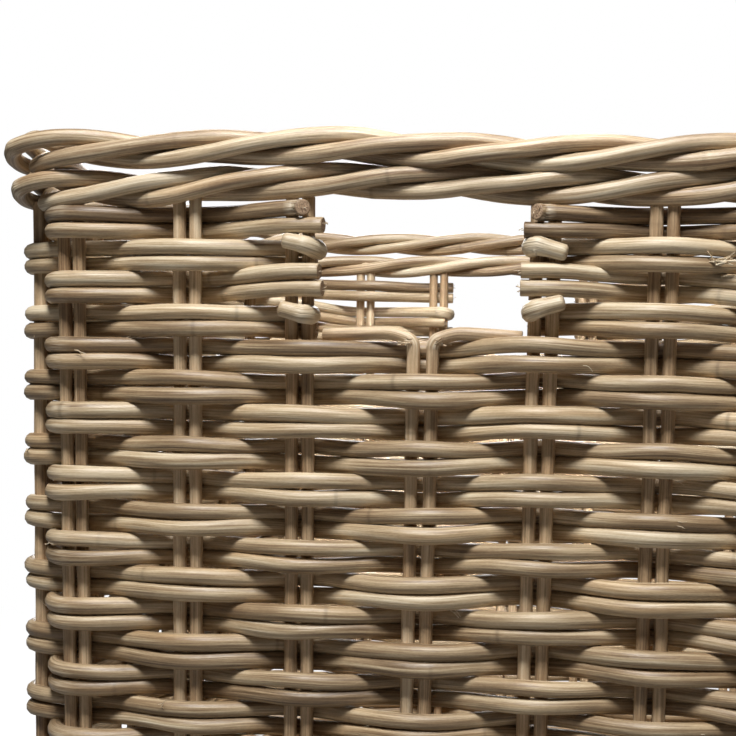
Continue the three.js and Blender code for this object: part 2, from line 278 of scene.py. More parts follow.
# How tight a cane turns, in radii, where its skin starts to crack, and by how much it swells there
BEND_STARTS, BEND_RANGE, BEND_SWELL = 0.17, 0.3, 0.05
TURN_FILTER = [0.25, 0.5, 0.25]

TONE_WAVES, TONE_CHANGE = (90, 210), 0.45
LARGEST_START = 4000  # a cane's grain starts up to this far along


def resample(points, s, joints):
    """Distances along the line for its rings: closer together in bends and at the joints."""
    runs = np.diff(points, axis=0)
    lengths = np.linalg.norm(runs, axis=1)
    heading = runs / lengths[:, None]
    turns = np.arccos(np.clip((heading[1:] * heading[:-1]).sum(1), -1, 1))
    turns = np.concatenate([[0], turns, [0]])
    weights = lengths / RING_STEP + (turns[1:] + turns[:-1]) / 2 / TURN_STEP
    total = np.concatenate([[0], np.cumsum(weights)])
    count = int(math.ceil(total[-1])) + 1
    at = np.interp(np.linspace(0, total[-1], count), total, s)
    for joint in joints:
        at = np.concatenate([at[np.abs(at - joint) > JOINT_ROOM], joint + JOINT_RINGS])
    at = np.sort(at[(at >= 0) & (at <= s[-1])])
    keep = np.concatenate([[True], np.diff(at) > LEAST_STEP])
    return at[keep] if keep.sum() > 2 else np.linspace(0, s[-1], 3)


def frames_along(points):
    """The direction of a line at its points, and two directions across it that turn as little as they can."""
    tangents = np.gradient(points, axis=0)
    tangents /= np.linalg.norm(tangents, axis=1)[:, None]
    aside, other = [0.31, 0.22, 0.93], [1.0, 0.0, 0.0]
    normal = np.cross(tangents[0], aside)
    if np.linalg.norm(normal) < 0.1:
        normal = np.cross(tangents[0], other)
    normals = []
    for tangent in tangents:
        normal = normal - tangent * np.dot(normal, tangent)
        normal /= np.linalg.norm(normal)
        normals.append(normal)
    normals = np.array(normals)
    return tangents, normals, np.cross(tangents, normals)


# Rings that close an end: how far past the end, share of the radius, and whether they are on the cut
END_RINGS = {
    "cut": [(0.0, 1.0, 0.0), (0.28, 0.93, 0.3), (0.36, 0.84, 1.0), (0.3, 0.55, 1.0), (0.24, 0.25, 1.0)],
    "round": [(0.7, 0.98, 0.0), (1.3, 0.87, 0.2), (1.65, 0.66, 0.5), (1.8, 0.34, 0.7)],
}
ROUND_END_RADIUS = 2.6  # a round end's rings are for a cane of this radius


def joint_places(rng, length, gap):
    """Distances of a cane's joints from its start."""
    places = []
    at = rng.uniform(*FIRST_JOINT) * gap
    while at < length - LAST_JOINT:
        places.append(at)
        at += gap * rng.uniform(*NEXT_JOINT)
    return places


def cane_faces(count):
    """Quads between a cane's rings, and triangles that close its ends on the two points after the rings."""
    i, j = np.meshgrid(np.arange(count - 1) * SIDES, np.arange(SIDES), indexing="ij")
    k = (j + 1) % SIDES
    quads = np.stack([i + j, i + k, i + SIDES + k, i + SIDES + j], -1).reshape(-1, 4)
    j, k, top = j[0], k[0], (count - 1) * SIDES
    head = np.stack([np.full(SIDES, count * SIDES), k, j], -1)
    tail = np.stack([np.full(SIDES, count * SIDES + 1), top + j, top + k], -1)
    return quads, np.concatenate([head, tail])


def sweep(line, radius, rng, wobble, ends=("cut", "cut"), joint_gap=JOINT_GAP, swell=None):
    """One cane along a line: its points, faces and the values that its finish reads."""
    lengths = np.linalg.norm(np.diff(line, axis=0), axis=1)
    line = line[np.concatenate([[True], lengths > LEAST_RUN])]
    s = np.concatenate([[0], np.cumsum(np.linalg.norm(np.diff(line, axis=0), axis=1))])
    joints = joint_places(rng, s[-1], joint_gap)
    at = resample(line, s, joints)
    points = np.stack([np.interp(at, s, line[:, k]) for k in range(3)], axis=1)
    _, *across = frames_along(points)
    calm = np.clip(np.minimum(at, s[-1] - at) / CALM_LENGTH, LEAST_WANDER, 1)
    for direction, waves in zip(across, LINE_WAVES):
        points = points + direction * (wander(rng, at, waves, wobble) * calm)[:, None]
    tangents, normals, binormals = frames_along(points)

    size = 1
    for waves, share in SIZE_WAVES:
        size = size + wander(rng, at, waves, share)
    size = size * radius
    dark = np.zeros_like(at)
    for joint in joints:
        ridge = np.exp(-(((at - joint) / RIDGE_WIDTH) ** 2))
        notch = np.exp(-(((at - joint) / NOTCH_WIDTH) ** 2))
        size += rng.uniform(*RIDGE_HEIGHT) * ridge - NOTCH_DEPTH * notch
        dark = np.maximum(dark, notch * rng.uniform(*NOTCH_DARKNESS))
    if swell is not None:
        size = size * np.interp(at, *swell(s[-1]))
    turning = np.linalg.norm(np.gradient(tangents, at, axis=0), axis=1) * radius
    turning = np.convolve(np.pad(turning, 1, mode="edge"), TURN_FILTER, mode="valid")
    bend = np.clip((turning - BEND_STARTS) / BEND_RANGE, 0, 1)
    size = size * (1 + BEND_SWELL * bend)
    turned = 2 * AROUND + wander(rng, at, OVAL_WAVES, OVAL_TURN)[:, None] + rng.uniform(*PHASES)
    oval = 1 + OVAL * np.cos(turned)
    oval += THREE_SIDED * np.cos(3 * AROUND + rng.uniform(*PHASES))
    circle = np.cos(AROUND)[:, None] * normals[:, None] + np.sin(AROUND)[:, None] * binormals[:, None]

    def end_rings(index, sign):
        """Rings of one end with their places along the cane and shares of cut, and its middle point."""
        scale = 1 if ends[index] == "cut" else size[index] / ROUND_END_RADIUS
        rings = []
        for past, share, on_cut in END_RINGS[ends[index]]:
            ring = points[index] + circle[index] * size[index] * share * oval[index][:, None]
            ring = ring + tangents[index] * sign * (past * scale)
            rings.append((ring, at[index] + sign * past * scale, on_cut))
        return rings + [(rings[-1][0].mean(0, keepdims=True), at[index], 1.0)]

    head, tail = end_rings(0, -1)[::-1], end_rings(-1, 1)
    body = points[:, None] + circle * size[:, None, None] * oval[..., None]
    skipped = [0 if end == "round" else 1 for end in ends]  # a cut end has its own ring there
    first, last = skipped[0], len(points) - skipped[1]
    middle = [(body[i], at[i], 0.0) for i in range(first, last)]
    rings, along, cut = zip(*head[1:], *middle, *tail[:-1])
    verts = np.concatenate([*rings, head[0][0], tail[-1][0]])
    along = np.array(along)
    added = len(head) - 1, len(tail) - 1
    dark = np.pad(dark[first:last], added)
    bend = np.pad(bend[first:last], added, constant_values=(bend[0], bend[-1]))

    start = rng.uniform(0, LARGEST_START)
    grain = np.zeros((len(rings), SIDES, 3))
    grain[..., 0] = np.cos(AROUND) * radius
    grain[..., 1] = np.sin(AROUND) * radius
    grain[..., 2] = (along + start)[:, None]
    for i, on_cut in enumerate(cut):
        if on_cut >= 0.5:
            grain[i, :, :2] *= np.linalg.norm(rings[i] - rings[i].mean(0), axis=1)[:, None] / radius
    tone = rng.uniform(-1, 1) + wander(rng, along, TONE_WAVES, TONE_CHANGE)
    seed = np.full(len(verts), rng.uniform(0, 1))

    def on_points(values, at_head, at_tail):
        return np.concatenate([np.repeat(values, SIDES), [at_head, at_tail]])

    quads, tris = cane_faces(len(rings))
    return {
        "verts": verts,
        "quads": quads,
        "tris": tris,
        "grain": np.concatenate([grain.reshape(-1, 3), [[0, 0, start], [0, 0, start + along[-1]]]]),
        "tone": on_points(tone, tone[0], tone[-1]),
        "mark": np.stack([on_points(dark, 0, 0), on_points(cut, 1, 1), seed], axis=1),
        "bend": on_points(bend, bend[0], bend[-1]),
    }


# Loose fibres: how far they start off their place, how much they curl, how low they get, and the ranges of
# their lengths and radii, as shares, and of their tones
FIBRE_SCATTER, FIBRE_CURL, FIBRE_FLOOR = 0.7, 0.25, 0.4
FIBRE_LENGTHS, FIBRE_RADII, FIBRE_TONES = (0.4, 1.0), (0.5, 1.0), (0.6, 2.0)
FIBRE_POINTS = 7
NO_JOINTS = 1e6  # a gap between joints that leaves a fibre without any


def fibres(rng, place, heading, count, length, spread, radius):
    """Loose pale fibres of a cracked or cut cane."""
    loose = []
    for _ in range(count):
        way = np.asarray(heading, float) + rng.normal(0, spread, 3)
        way /= np.linalg.norm(way)
        t = np.linspace(0, 1, FIBRE_POINTS)[:, None]
        line = np.asarray(place, float) + rng.normal(0, FIBRE_SCATTER, 3)
        reach = length * rng.uniform(*FIBRE_LENGTHS)
        line = line + reach * (way * t + rng.normal(0, FIBRE_CURL, 3) * t * t)
        line[:, 2] = np.maximum(line[:, 2], FIBRE_FLOOR)
        hair = sweep(line, radius * rng.uniform(*FIBRE_RADII), rng, 0.0, joint_gap=NO_JOINTS)
        hair["tone"][:] = rng.uniform(*FIBRE_TONES)
        hair["bend"][:] = 1.0
        loose.append(hair)
    return loose


# Splinters keep off the first and last twelfth of a cane. They start just inside its skin and lean out, in
# bunches of 1 to 3 with this length, spread and radius
SPLINTERS_KEEP_OFF = 12
SPLINTER_START, SPLINTER_LEAN = 0.95, 0.35
SPLINTER_BUNCH = 1, 4
SPLINTER_FORM = 5.0, 0.16, 0.16


def splinters(rng, line, radius, bunches):
    """Bunches of fibres that stand off the skin of a cane, each at a spot of its own."""
    loose = []
    for _ in range(bunches):
        count = int(rng.integers(*SPLINTER_BUNCH))
        spot = rng.integers(len(line) // SPLINTERS_KEEP_OFF, len(line) - len(line) // SPLINTERS_KEEP_OFF)
        along = line[spot + 1] - line[spot - 1]
        along /= np.linalg.norm(along)
        off = np.cross(along, rng.normal(0, 1, 3))
        off /= np.linalg.norm(off)
        place = line[spot] + off * radius * SPLINTER_START
        loose += fibres(rng, place, along + SPLINTER_LEAN * off, count, *SPLINTER_FORM)
    return loose


def build(name, canes, material):
    """One object from its canes, in place of the CAD node of that name."""
    verts, quads, tris = [], [], []
    offset = 0
    for cane in canes:
        verts.append(cane["verts"])
        quads.append(cane["quads"] + offset)
        tris.append(cane["tris"] + offset)
        offset += len(cane["verts"])
    verts, quads, tris = (np.concatenate(parts) for parts in (verts, quads, tris))
    mesh = bpy.data.meshes.new(name)
    mesh.vertices.add(len(verts))
    mesh.vertices.foreach_set("co", (verts * MM).astype(np.float32).ravel())
    corners = np.concatenate([quads.ravel(), tris.ravel()]).astype(np.int32)
    mesh.loops.add(len(corners))
    mesh.loops.foreach_set("vertex_index", corners)
    starts = np.concatenate([np.arange(len(quads)) * 4, len(quads) * 4 + np.arange(len(tris)) * 3])
    mesh.polygons.add(len(starts))
    mesh.polygons.foreach_set("loop_start", starts.astype(np.int32))
    mesh.update(calc_edges=True)
    mesh.validate()
    mesh.polygons.foreach_set("use_smooth", np.ones(len(mesh.polygons), bool))
    for key in ("grain", "tone", "mark", "bend"):
        values = np.concatenate([cane[key] for cane in canes]).astype(np.float32)
        kind, field = ("FLOAT_VECTOR", "vector") if values.ndim == 2 else ("FLOAT", "value")
        attribute = mesh.attributes.new("cane_" + key, kind, "POINT")
        attribute.data.foreach_set(field, values.ravel())
    mesh.materials.append(material)
    obj = bpy.data.objects.new("round_" + name, mesh)
    bpy.context.scene.collection.objects.link(obj)
    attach(obj, "root")
    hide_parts(name)


# Finishes


class Nodes:
    """Adds shader nodes and joins them up."""

    def __init__(self, tree):
        self.tree = tree

    def add(self, kind, inputs=None, **settings):
        node = self.tree.nodes.new(kind)
        for key, value in settings.items():
            setattr(node, key, value)
        for key, value in (inputs or {}).items():
            socket = node.inputs[key]
            if isinstance(value, bpy.types.NodeSocket):
                self.tree.links.new(value, socket)
            else:
                socket.default_value = value
        return node

    def math(self, operation, a, b=0.0, clamp=False):
        return self.add("ShaderNodeMath", {0: a, 1: b}, operation=operation, use_clamp=clamp).outputs[0]

    def mix(self, share, a, b, blend="MIX"):
        inputs = {0: share, 6: a, 7: b}
        return self.add("ShaderNodeMix", inputs, data_type="RGBA", blend_type=blend).outputs[2]

    def noise(self, vector, around, along, w, detail=2.0, roughness=0.5):
        """Noise of a cane's grain, this fine round the cane and along it."""
        scales = {0: vector, 1: (around, around, along)}
        scaled = self.add("ShaderNodeVectorMath", scales, operation="MULTIPLY").outputs[0]
        inputs = {"Vector": scaled, "W": w, "Scale": 1.0, "Detail": detail, "Roughness": roughness}
        return self.add("ShaderNodeTexNoise", inputs, noise_dimensions="4D").outputs[0]

    def centred(self, value, weight):
        return self.math("MULTIPLY", self.math("SUBTRACT", value, 0.5), weight)

    def between(self, value, low, high, **settings):
        """0 where the value is low, and 1 where it is high."""
        inputs = {"Value": value, "From Min": low, "From Max": high}
        return self.add("ShaderNodeMapRange", inputs, **settings).outputs[0]


def clean_nodes(owner):
    """The emptied node tree of a material or world."""
    owner.use_nodes = True
    owner.node_tree.nodes.clear()
    return Nodes(owner.node_tree)


def srgb(r, g, b):
    """A linear colour from 8-bit values."""

    def linear(v):
        v /= 255
        return v / 12.92 if v <= 0.04045 else ((v + 0.055) / 1.055) ** 2.4

    return (linear(r), linear(g), linear(b), 1.0)


# Noises of a finish: how fine they are round the cane and along it, detail, roughness, and weight in the
# finish's tone
NOISES = {
    "fine": (1.8, 0.04, 3.0, 0.62, 1.15),
    "broad": (0.75, 0.013, 2.0, 0.5, 0.8),
    "patch": (0.16, 0.028, 2.5, 0.55, 0.75),
    "speck": (2.6, 0.8, 2.0, 0.6, 0.22),
}
TONE_WEIGHT = 0.12
STOPS = [0.08, 0.38, 0.62, 0.92]  # where the four colours of a finish lie
SEED_SPAN = 37.0

# Warm patches, pale and dark cracks in a bend, dark joints, and pores in a cut end: fineness of the noise,
# the noise's values from none to full, weight and colour
WARM_NOISE, WARM_RANGE, WARM_WEIGHT, WARM_SEED = (0.2, 0.018), (0.48, 0.72), 0.55, 11.0
CRACK_NOISE, CRACK_SEED = (1.9, 0.12), 5.0
PALE_RANGE, PALE_WEIGHT, PALE_COLOR = (0.46, 0.6), 0.75, srgb(236, 222, 196)
DARK_RANGE, DARK_WEIGHT, DARK_COLOR = (0.42, 0.34), 0.5, srgb(108, 85, 62)
JOINT_WEIGHT, JOINT_COLOR = 0.6, srgb(78, 58, 42)
PORE_NOISE, PORE_RANGE = (2.2, 2.2), (0.4, 0.62)
PORE_COLOR, CUT_COLOR = srgb(126, 100, 78), srgb(204, 174, 142)

ROUGH_CHANGE, CUT_ROUGHER = 0.35, 0.25
SPECK_HEIGHT, CRACK_HEIGHT = 0.25, 2.2  # against the fine noise
BUMP_STRENGTH, BUMP_DISTANCE = 0.5, 0.0004
SPECULAR = 0.5


def cane_finish(name, stops, warm, roughness):
    """Peeled round cane: long fibres, slow changes of tone along the length, cracked skin in the bends, dark
    rings at the joints and open grain on the cut ends."""
    material = bpy.data.materials.new(name)
    n = clean_nodes(material)
    grain = n.add("ShaderNodeAttribute", attribute_name="cane_grain").outputs["Vector"]
    tone = n.add("ShaderNodeAttribute", attribute_name="cane_tone").outputs["Fac"]
    mark = n.add("ShaderNodeAttribute", attribute_name="cane_mark").outputs["Vector"]
    bend = n.add("ShaderNodeAttribute", attribute_name="cane_bend").outputs["Fac"]
    joint, cut, seed = n.add("ShaderNodeSeparateXYZ", {0: mark}).outputs
    w = n.math("MULTIPLY", seed, SEED_SPAN)

    noises = {}
    level = 0.0
    for key, (around, along, detail, rough, weight) in NOISES.items():
        noises[key] = n.noise(grain, around, along, w, detail, rough)
        level = n.math("ADD", level, n.centred(noises[key], weight))
    level = n.math("ADD", level, n.math("MULTIPLY", tone, TONE_WEIGHT))
    level = n.math("ADD", level, 0.5, clamp=True)
    ramp = n.add("ShaderNodeValToRGB", {0: level})
    elements = ramp.color_ramp.elements
    for position in STOPS[1:-1]:
        elements.new(position)
    for element, position, color in zip(elements, STOPS, stops):
        element.position = position
        element.color = color
    color = ramp.outputs[0]

    patches = n.noise(grain, *WARM_NOISE, n.math("ADD", w, WARM_SEED), detail=1.0)
    patches = n.between(patches, *WARM_RANGE)
    color = n.mix(n.math("MULTIPLY", patches, WARM_WEIGHT), color, warm, blend="MULTIPLY")
    crack = n.noise(grain, *CRACK_NOISE, n.math("ADD", w, CRACK_SEED), detail=2.0, roughness=0.65)
    for limits, weight, crack_color in (
        (PALE_RANGE, PALE_WEIGHT, PALE_COLOR),
        (DARK_RANGE, DARK_WEIGHT, DARK_COLOR),
    ):
        share = n.math("MULTIPLY", n.math("MULTIPLY", bend, n.between(crack, *limits)), weight)
        color = n.mix(share, color, crack_color)
    color = n.mix(n.math("MULTIPLY", joint, JOINT_WEIGHT), color, JOINT_COLOR)
    pores = n.between(n.noise(grain, *PORE_NOISE, w, detail=2.0, roughness=0.7), *PORE_RANGE)
    color = n.mix(cut, color, n.mix(pores, PORE_COLOR, CUT_COLOR))

    rough = n.math("ADD", n.centred(noises["broad"], ROUGH_CHANGE), n.math("MULTIPLY", cut, CUT_ROUGHER))
    rough = n.math("ADD", rough, roughness, clamp=True)
    height = n.math("ADD", noises["fine"], n.math("MULTIPLY", noises["speck"], SPECK_HEIGHT))
    height = n.math("ADD", height, n.math("MULTIPLY", n.math("MULTIPLY", bend, crack), CRACK_HEIGHT))
    bump = n.add("ShaderNodeBump", {"Strength": BUMP_STRENGTH, "Distance": BUMP_DISTANCE, "Height": height})
    bump = bump.outputs[0]
    inputs = {"Base Color": color, "Roughness": rough, "Specular IOR Level": SPECULAR, "Normal": bump}
    shader = n.add("ShaderNodeBsdfPrincipled", inputs)
    n.add("ShaderNodeOutputMaterial", {0: shader.outputs[0]})
    return material


WEAVER = cane_finish(
    "woven_cane",
    [srgb(102, 81, 59), srgb(154, 130, 100), srgb(193, 171, 138), srgb(230, 215, 186)],
    (0.98, 0.85, 0.7, 1.0),
    0.4,
)
STAKE = cane_finish(
    "stake_cane",
    [srgb(116, 92, 68), srgb(172, 145, 113), srgb(208, 182, 147), srgb(233, 214, 183)],
    (0.98, 0.85, 0.72, 1.0),
    0.46,
)
BORDER = cane_finish(
    "border_cane",
    [srgb(106, 83, 60), srgb(158, 133, 104), srgb(200, 179, 147), srgb(234, 220, 193)],
    (0.98, 0.81, 0.64, 1.0),
    0.38,
)

# Rows

SPLINTERS_PER_CANE = 6
# The ranges, as shares, of the canes' swing, and in whole and half rows of their arch and thickness
PEAK_SPREAD = 0.99, 1.04
WHOLE_ARCHES, WHOLE_SIZES, WHOLE_WANDER = (0.6, 2.2), (0.95, 1.07), 0.36
HALF_ARCHES, HALF_SIZES, HALF_WANDER = (0.2, 1.6), (0.96, 1.02), 0.2
ENDS_PASS = 0.6  # how far each end of a whole row's cane runs past the place where they meet
BACK_MIDDLE = BACK * PAIRS + MIDDLE_PAIR


def row_height(row):
    return FIRST_ROW + ROW_PITCH * row


def whole_row(row):
    name = f"row_{row + 1}"
    rng = seeded(name)
    start = BACK_MIDDLE if side_of(row, BACK_MIDDLE) < 0 else BACK_MIDDLE + 1
    start -= 2 * int(rng.integers(0, 2))
    canes = []
    for lift in (-ROW_HALF, ROW_HALF):
        peak = ROW_PEAK * rng.uniform(*PEAK_SPREAD)
        arch = math.copysign(ROW_ARCH, lift) * rng.uniform(*WHOLE_ARCHES)
        line = row_line(row, start, start + PAIR_TOTAL, row_height(row) + lift, peak, arch)
        line[0] += WALLS[BACK]["along"] * ENDS_PASS
        line[-1] -= WALLS[BACK]["along"] * ENDS_PASS
        radius = WEAVER_RADIUS * rng.uniform(*WHOLE_SIZES)
        canes.append(sweep(line, radius, rng, WHOLE_WANDER))
        canes += splinters(rng, line, radius, SPLINTERS_PER_CANE)
    build(name, canes, WEAVER)


# How far a row's two ends, the upper and the lower one, reach past the middle of their pair at the front hole
END_REACH = {
    (22, "left"): (2.8, 9.8),
    (22, "right"): (2.6, 7.0),
    (20, "left"): (8.4, 9.6),
    (20, "right"): (7.6, 7.7),
}
# Canes that hook round the pair there: how far the hook reaches past it, how long it runs back, how high it
# stands and how much its end rises from there
HOOKS = {
    (21, "left"): (4.0, 5.2, 1.0, 1.0),
    (19, "left"): (1.8, 6.6, -0.5, 1.6),
    (21, "right"): (2.9, 8.6, -0.3, -2.4),
    (19, "right"): (2.2, 8.2, 0.3, 2.0),
}
PLAIN_HOOK = (3.6, 7.2, 0.0, 1.5)
# The ends outside and inside a pair elsewhere, and how far a cut end bends out, the front's top one most
OUTSIDE_REACH, INSIDE_REACH, CUT_OUT, TOP_CUT_OUT = 7.2, 4.5, 0.5, 2.4
# A hook keeps clear of the stakes, sinks at its turn and at its end, and its end stands out
HOOK_ROOM, TURN_SINK, END_SINK, HOOK_OUT = 0.6, 0.9, 0.2, 0.3


def end_line(row, number, toward, lift, peak, arch):
    """How a cane of a half row ends beside a hole, going on from its pair."""
    wall, pair = find_pair(number)
    side = "left" if toward > 0 else "right"
    middle = pair_along(wall, pair, row_height(row) + lift)
    height = row_height(row) + lift + arch / 2 + rise_at(row, wall, middle)
    upper = lift > 0
    t = np.linspace(0.1, 1, 6)
    if side_of(row, number) > 0:
        reach = END_REACH[row, side][0 if upper else 1] if wall == FRONT else OUTSIDE_REACH
        outward = TOP_CUT_OUT if wall == FRONT and row == ROW_COUNT - 1 and upper else CUT_OUT
        return wall_points(wall, middle + toward * reach * t, peak + outward * t * t, height)
    if not upper:
        return wall_points(wall, middle + toward * INSIDE_REACH * t, -peak, height)
    hook_reach, run, hook_lift, rise = HOOKS[row, side] if wall == FRONT else PLAIN_HOOK
    near = PAIR_OFFSET - HOOK_ROOM
    turn = np.linspace(-math.pi / 2, math.pi / 2, 19)
    along = middle + toward * (near + hook_reach * np.cos(turn))
    out = (peak + HOOK_ROOM) * np.sin(turn)
    z = height + np.interp(turn, [-math.pi / 2, 0, math.pi / 2], [0.0, -TURN_SINK, hook_lift - END_SINK])
    back = np.linspace(0.15, 1, 8)
    along = np.concatenate([along, middle + toward * (near - run * back)])
    out = np.concatenate([out, peak + HOOK_ROOM + HOOK_OUT * back])
    z = np.concatenate([z, height - END_SINK + hook_lift + rise * back])
    return wall_points(wall, along, out, z)


# A hook is bruised and swells wide: how much, at these distances from its end
KNOB_PLACES, KNOB_SIZES = [0, 6, 12, 17, 26], [0.98, 1.06, 1.22, 1.1, 1]


def knob_swell(hooked):
    head, tail = (KNOB_SIZES if hook else [1] * len(KNOB_SIZES) for hook in hooked)
    return lambda length: (KNOB_PLACES + [length - v for v in KNOB_PLACES[::-1]], head + tail[::-1])


# Fibres of a cut end, and those of a joint that is frayed, on a lower cane near the front wall's right end:
# heading, and what fibres() takes after it
CUT_FIBRES = 4, 1.2, 0.3, 0.2
FRAYED_ROW, FRAYED_ALONG, FRAYED_SWING, FRAYED_LIFT = (21, "right"), 105.0, 0.4, 1.0
FRAYED_FIBRES = ((0.9, -0.15, 0.3), 12, 6.5, 0.12, 0.4), ((-0.3, -0.3, 0.9), 2, 6.0, 0.1, 0.25)

# The tones of the upper and lower canes that end at the front hole. None leaves it to chance.
# The dark values of row 22 on the right, and of its upper cane on the left, are partly painted shade of the
# border above
HOLE_TONES_AND_PAINTED_SHADE = {
    (22, "left"): (-1.9, 0.5),
    (22, "right"): (-1.8, -2.4),
    (21, "left"): (1.9, None),
    (21, "right"): (1.8, None),
    (20, "left"): (0.6, 0.4),
    (20, "right"): (0.9, 0.5),
    (19, "left"): (1.5, None),
    (19, "right"): (1.2, None),
}


def half_row(row, side, first, last):
    name = f"row_{row + 1}_{side}"
    rng = seeded(name)
    canes = []
    for lift in (-ROW_HALF, ROW_HALF):
        peak = ROW_PEAK * rng.uniform(*PEAK_SPREAD)
        arch = math.copysign(ROW_ARCH, lift) * rng.uniform(*HALF_ARCHES)
        line = row_line(row, first, last, row_height(row) + lift, peak, arch)
        head = end_line(row, first, -1, lift, peak, arch)[::-1]
        tail = end_line(row, last, 1, lift, peak, arch)
        line = np.concatenate([head, line, tail])
        hooked = [side_of(row, number) < 0 and lift > 0 for number in (first, last)]
        ends = ["round" if hook else "cut" for hook in hooked]
        radius = WEAVER_RADIUS * rng.uniform(*HALF_SIZES)
        cane = sweep(line, radius, rng, HALF_WANDER, ends=ends, swell=knob_swell(hooked))
        # row 22's dark values are partly painted shade of the border above; the others are the canes' own
        # tones
        tone_and_painted_shade = HOLE_TONES_AND_PAINTED_SHADE[row, side][0 if lift > 0 else 1]
        if tone_and_painted_shade is not None:
            cane["tone"] += tone_and_painted_shade - cane["tone"].mean()
        canes.append(cane)
        canes += splinters(rng, line, radius, SPLINTERS_PER_CANE // 2)
        for hook, end, before in zip(hooked, (0, -1), (1, -2)):
            if not hook:
                heading = line[end] - line[before]
                canes += fibres(rng, line[end], heading / np.linalg.norm(heading), *CUT_FIBRES)
    if (row, side) == FRAYED_ROW:
        out = ROW_PEAK * FRAYED_SWING + WEAVER_RADIUS
        frayed = wall_points(FRONT, FRAYED_ALONG, out, row_height(row) - ROW_HALF + FRAYED_LIFT)
        for settings in FRAYED_FIBRES:
            canes += fibres(rng, frayed, *settings)
    build(name, canes, WEAVER)


def add_rows():
    for row in range(ROW_COUNT - HOLE_ROWS):
        whole_row(row)
    for row in range(ROW_COUNT - HOLE_ROWS, ROW_COUNT):
        half_row(row, "right", MIDDLE_PAIR + 1, BACK_MIDDLE - 1)
        half_row(row, "left", BACK_MIDDLE + 1, PAIR_TOTAL + MIDDLE_PAIR - 1)


# Stakes

BEND = 7.0
TOP_REACH = 3.4  # the stakes run up a little between the strands of the lower roll
ARCH_REACH = 6.5  # and so do their bends
ARCH_DROP = 0.4
STAKE_SIZES, STAKE_WANDER = (0.96, 1.0), 0.12
EVEN_SIZE = 0.98  # the middle stakes and the base canes are all this thick
STAKE_SPREAD = 0, 0.35  # how much further apart than in the frame the two stakes of a pair may stand


def add_stake(name, line, rng):
    cane = sweep(line, STAKE_RADIUS * rng.uniform(*STAKE_SIZES), rng, STAKE_WANDER)
    build(name, [cane], STAKE)


def stake_down(wall, pair, shift, bottom):
    """A straight stroke of a stake, this far off the middle of its pair."""
    base = pair_along(wall, pair, BASE_LEVEL) + shift
    return [
        wall_points(wall, pair_along(wall, pair, STAKE_TOP) + shift, 0, STAKE_TOP + TOP_REACH),
        wall_points(wall, base, 0, bottom),
    ]


def mirrored(points):
    """The points of a stroke in the left wall moved to the right wall, from the foot up."""
    return [point * [-1, 1, 1] for point in points[::-1]]


def joined_at_top(first, second):
    """Two strokes of one cane, with its bend at the top of the far wall."""
    first, second = [p.copy() for p in first], [p.copy() for p in second]
    a, b = first[-1], second[-1]
    a[2] = b[2] = STAKE_TOP - PAIR_OFFSET - ARCH_DROP + ARCH_REACH
    middle, half = (a + b) / 2, (b - a) / 2
    lift = np.array([0, 0, np.linalg.norm(half)])
    turn = [middle - half * math.cos(t) + lift * math.sin(t) for t in np.linspace(0, math.pi, 11)]
    up = rounded(first[:-1] + turn[:1], BEND)
    down = rounded(turn[-1:] + second[:-1][::-1], BEND)
    return np.concatenate([up, turn, down])


def front_to_back_stake(pair):
    name = f"front_to_back_stake_{pair + 1}"
    rng = seeded(name)
    strokes = []
    offset = PAIR_OFFSET + rng.uniform(*STAKE_SPREAD)
    for side in (1, -1):
        up = stake_down(BACK, PAIRS - 1 - pair, -side * offset, BASE_LEVEL)[::-1]
        down = stake_down(FRONT, pair, side * offset, BASE_LEVEL)
        if pair == 0:
            down[0] = down[0] + WALLS[FRONT]["along"] * FIRST_STAKES_SHIFT
        strokes.append(down + up)
    add_stake(name, joined_at_top(*strokes), rng)


CORNER_SHIFT = {0: -3.4, PAIRS - 1: 3.4}  # the stakes next to a corner stand closer to it
CORNER_OUT = 0.9


def left_to_right_stake(pair):
    name = f"left_to_right_stake_{pair + 1}"
    wall_pair = PAIRS - 1 - pair
    foot = STAKE_RADIUS
    x = [pair_along(FRONT, i, BASE_LEVEL) for i in range(PAIRS)]
    z = [BASE_LEVEL + (-BASE_PEAK if i % 2 == 0 else WEAVE_PEAK) for i in range(PAIRS)]
    z[0] = z[-1] = foot
    at, height = weave(x, z)
    strokes = []
    for side in (1, -1):
        shift = -side * PAIR_OFFSET - CORNER_SHIFT.get(pair, 0.0)
        y = -(pair_along(LEFT, wall_pair, BASE_LEVEL) + shift)
        down = stake_down(LEFT, wall_pair, shift, foot)
        if pair in CORNER_SHIFT:
            down = [point + WALLS[LEFT]["outward"] * CORNER_OUT for point in down]
        crossing = [np.array([a, y, h]) for a, h in zip(at, height)]
        strokes.append(down + crossing + mirrored(down))
    add_stake(name, joined_at_top(*strokes), seeded(name))


# How a middle stake folds outwards at the bottom of a hand hole: distance from the middle, share of the
# middle's own shift, out of the wall, and height over the ledge. The first point is its end
FOLD = (36.2, 0.5, -1.2, -0.8), (12.0, 1, 0.3, 0.4), (PAIR_OFFSET + 0.7, 1, 0.3, -2.3)
FOLD_FOOT, FOLD_RADIUS = PAIR_OFFSET + 0.3, 3.2
MIDDLE_WANDER = 0.1
# Where its skin splits in the fold: distance from the middle, out of the wall and height over the ledge,
# less a drop. Then the fibres' heading, and what fibres() takes after it
SPLIT_PLACE, SPLIT_DROP = (PAIR_OFFSET + 2.2, 1.9, -1.4), 1.4
SPLIT_HEADING, SPLIT_FIBRES = (0.9, 0.25, -0.1), (9, 4.4, 0.14, 0.32)


